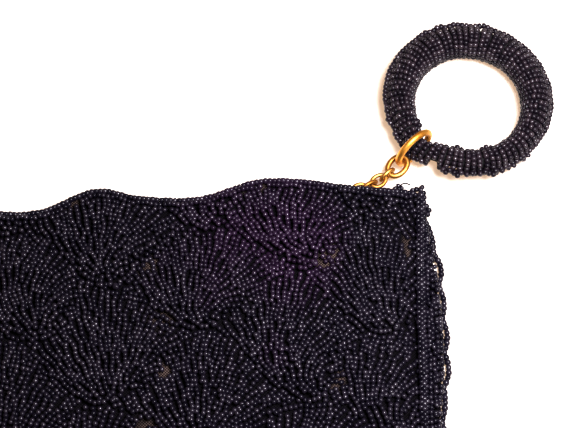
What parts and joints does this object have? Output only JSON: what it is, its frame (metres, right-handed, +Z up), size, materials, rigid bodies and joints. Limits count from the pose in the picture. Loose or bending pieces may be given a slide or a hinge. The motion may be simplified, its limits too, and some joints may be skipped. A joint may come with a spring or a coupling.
{
  "type": "beaded clutch",
  "caption": "Flat zipped evening clutch covered in black seed beads, with a scalloped mouth, beaded trims, and a bead-wound finger ring on a short gold chain.",
  "frame": {"origin": "on the surface under the middle of the back panel", "axes": "+X along the bag's width towards the chain, +Y from its bottom to its mouth, +Z up through the front panel"},
  "size_m": [0.2872, 0.2207, 0.0175],
  "materials": {
    "jet_beads": "glossy opaque black glass",
    "black_cloth": "plain woven black cloth",
    "gold_metal": "polished gold-coloured metal, slightly worn"
  },
  "bodies": {
    "root": {"front_panel": "jet_beads", "back_panel": "jet_beads", "edge_cord": "jet_beads", "seam_braid": "jet_beads", "picot_edge": "jet_beads", "front_top_edging": "jet_beads", "back_top_edging": "jet_beads", "zip_tape": "black_cloth", "zip_slider": "gold_metal", "finger_ring": "jet_beads", "jump_ring": "gold_metal", "chain_link_1": "gold_metal", "chain_link_2": "gold_metal", "chain_link_3": "gold_metal", "chain_link_4": "gold_metal", "chain_link_5": "gold_metal"}
  },
  "joints": []
}
